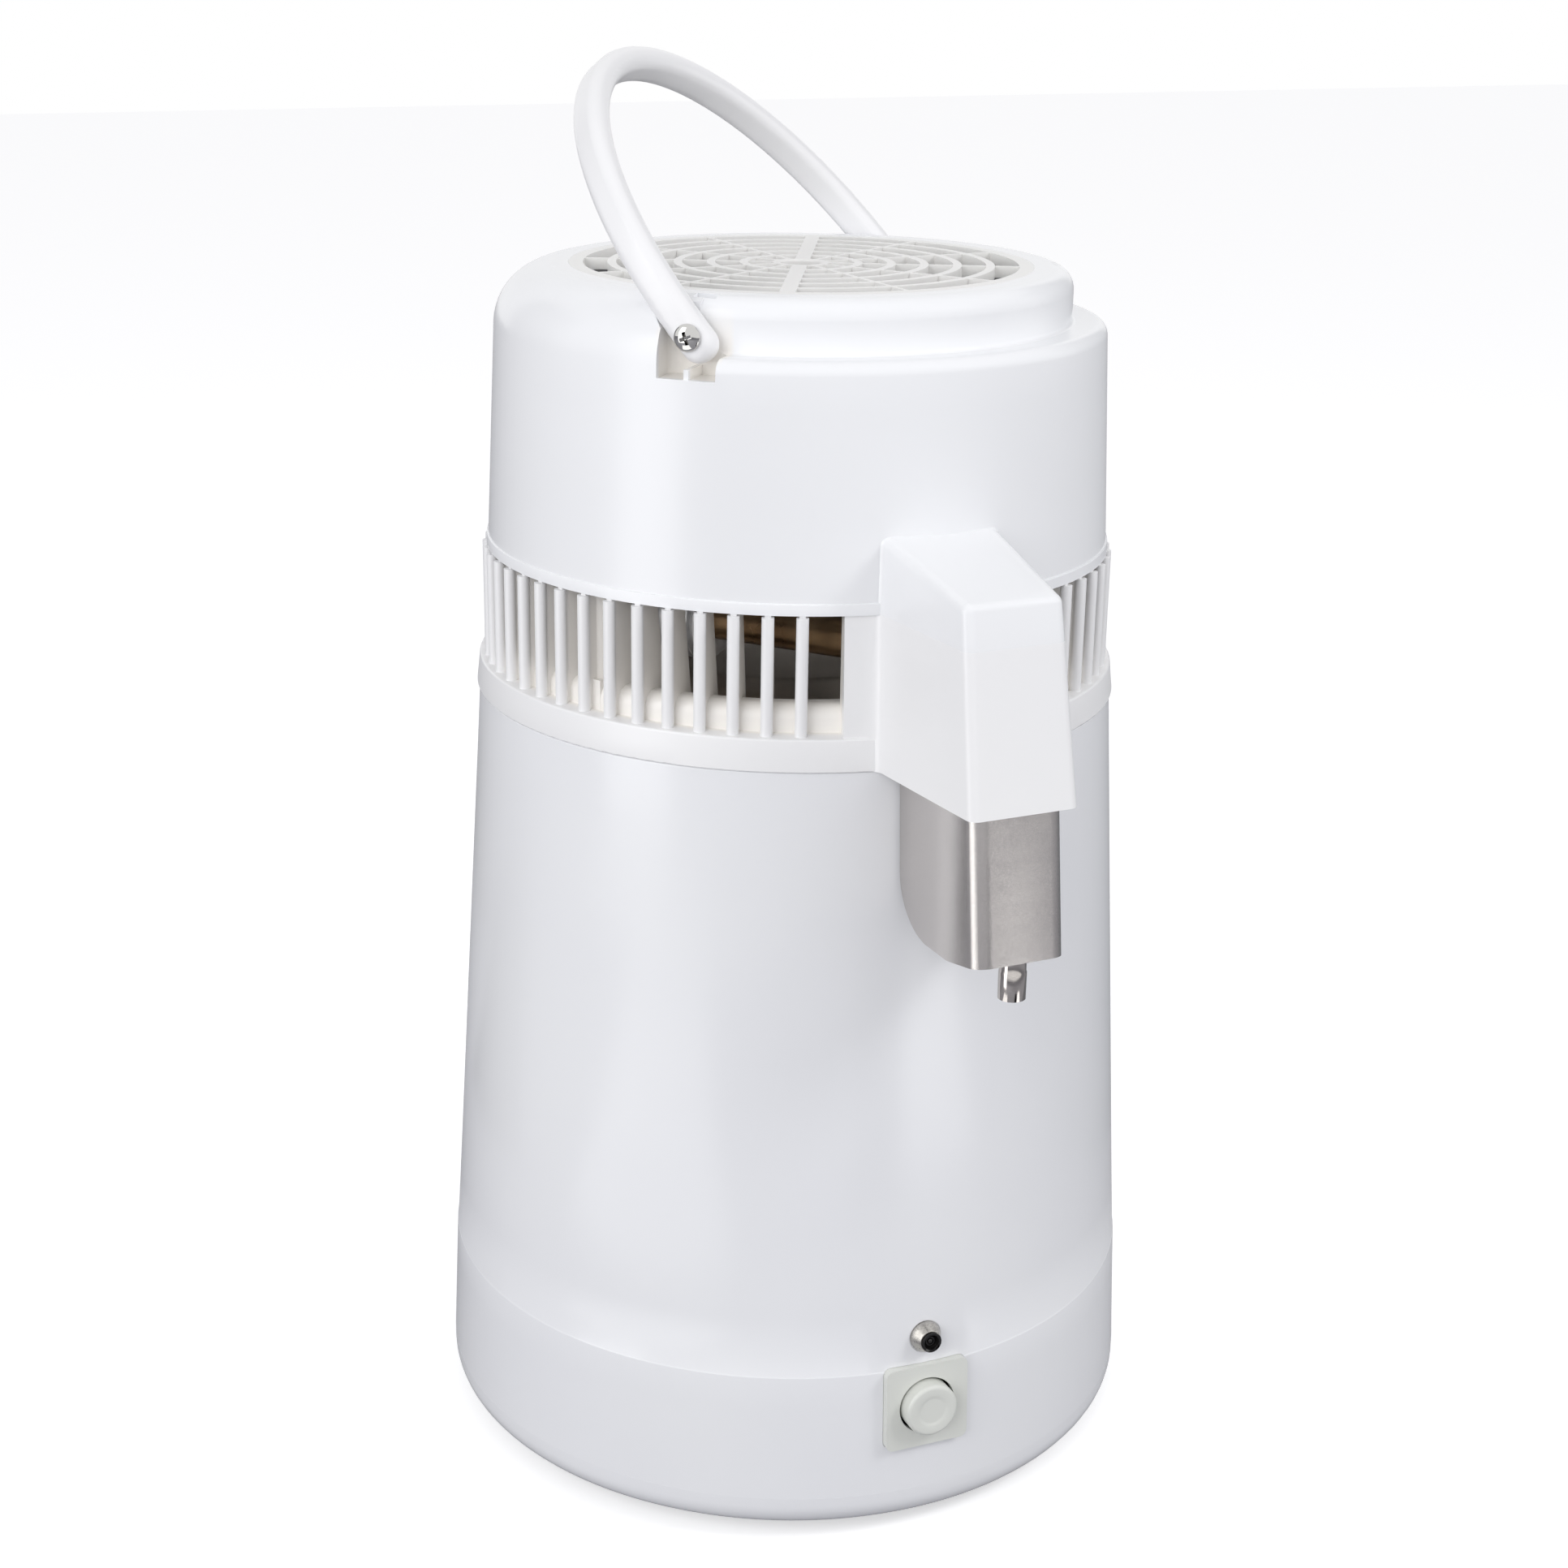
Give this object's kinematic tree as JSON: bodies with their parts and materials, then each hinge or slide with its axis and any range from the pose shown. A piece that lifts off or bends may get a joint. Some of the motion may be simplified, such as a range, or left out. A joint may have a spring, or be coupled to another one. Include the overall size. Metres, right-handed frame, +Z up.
{
  "type": "countertop water distiller",
  "caption": "Countertop water distiller: white conical boiler with a steel pot, and a lift-off fan-cooled condenser head with spout, filter cup and swinging handle.",
  "frame": {"origin": "on the boiler's axis, at the level of the surface that its feet stand on", "axes": "+Z up along the boiler's axis, -Y towards the spout and the start button, +X to the right as seen from the spout's side"},
  "size_m": [0.2292, 0.2655, 0.4419],
  "materials": {
    "white_shell": "smooth moulded white plastic",
    "white_head": "smooth moulded white plastic",
    "white_trim": "smooth moulded white plastic",
    "handle_plastic": "satin moulded white plastic",
    "black_plastic": "moulded black plastic",
    "cream_plastic": "moulded off-white plastic",
    "lens": "dark smoky moulded lens",
    "stainless": "drawn stainless steel",
    "screw_steel": "bright screw steel",
    "fin_aluminium": "bare aluminium",
    "heater_aluminium": "cast aluminium",
    "element_steel": "oxidised element sheath",
    "brass": "nickel free brass",
    "silicone": "translucent silicone",
    "rubber": "black rubber",
    "carbon": "white non-woven sachet"
  },
  "bodies": {
    "boiler": {"body_shell": "white_shell", "base_pan": "white_shell", "rubber_feet": "rubber", "boiling_pot": "stainless", "heater_plate": "heater_aluminium", "heater_element": "element_steel", "thermal_cutouts": "element_steel", "tie_rods": "screw_steel", "tie_nuts": "screw_steel", "switch_plate": "cream_plastic", "switch_housing": "black_plastic", "led_bezel": "screw_steel", "led_lens": "lens", "led_nut": "brass", "power_inlet": "black_plastic", "inlet_pins": "brass"},
    "button": {"start_button": "cream_plastic"},
    "head": {"head_cover": "white_head", "fan_inlet": "black_plastic", "fan_inlet_pins": "brass", "top_grille": "white_trim", "vent_band": "white_trim", "band_screws": "screw_steel", "steam_gasket": "silicone", "condenser_pan": "stainless", "condenser_coil": "stainless", "coil_fins": "fin_aluminium", "riser_nut": "brass", "motor_bracket": "screw_steel", "bracket_screws": "screw_steel", "fan_motor": "black_plastic", "pivot_screws": "screw_steel"},
    "fan": {"fan_blades": "black_plastic", "motor_shaft": "screw_steel"},
    "handle": {"carry_handle": "handle_plastic"},
    "filter": {"filter_cup": "stainless", "spout_tube": "stainless", "carbon_sachet": "carbon"}
  },
  "joints": [
    {"name": "head_lift", "type": "slide", "parent": "boiler", "child": "head", "axis": [0, 0, 1], "range_m": [0, 0.12]},
    {"name": "button_press", "type": "slide", "parent": "boiler", "child": "button", "axis": [0.0436, 0.9984, -0.0365], "range_m": [0, 0.003], "stiffness_N_per_m": 400, "springref_m": -0.002},
    {"name": "fan_spin", "type": "hinge", "parent": "head", "child": "fan", "pos_m": [0, 0, 0.345], "axis": [0, 0, 1], "continuous": true},
    {"name": "handle_swing", "type": "hinge", "parent": "head", "child": "handle", "pos_m": [0, 0, 0.37], "axis": [0.7071, 0.7071, 0], "range_deg": [0, 130.7]},
    {"name": "filter_slide", "type": "slide", "parent": "head", "child": "filter", "axis": [0, -0.1392, -0.9903], "range_m": [0, 0.045]}
  ]
}
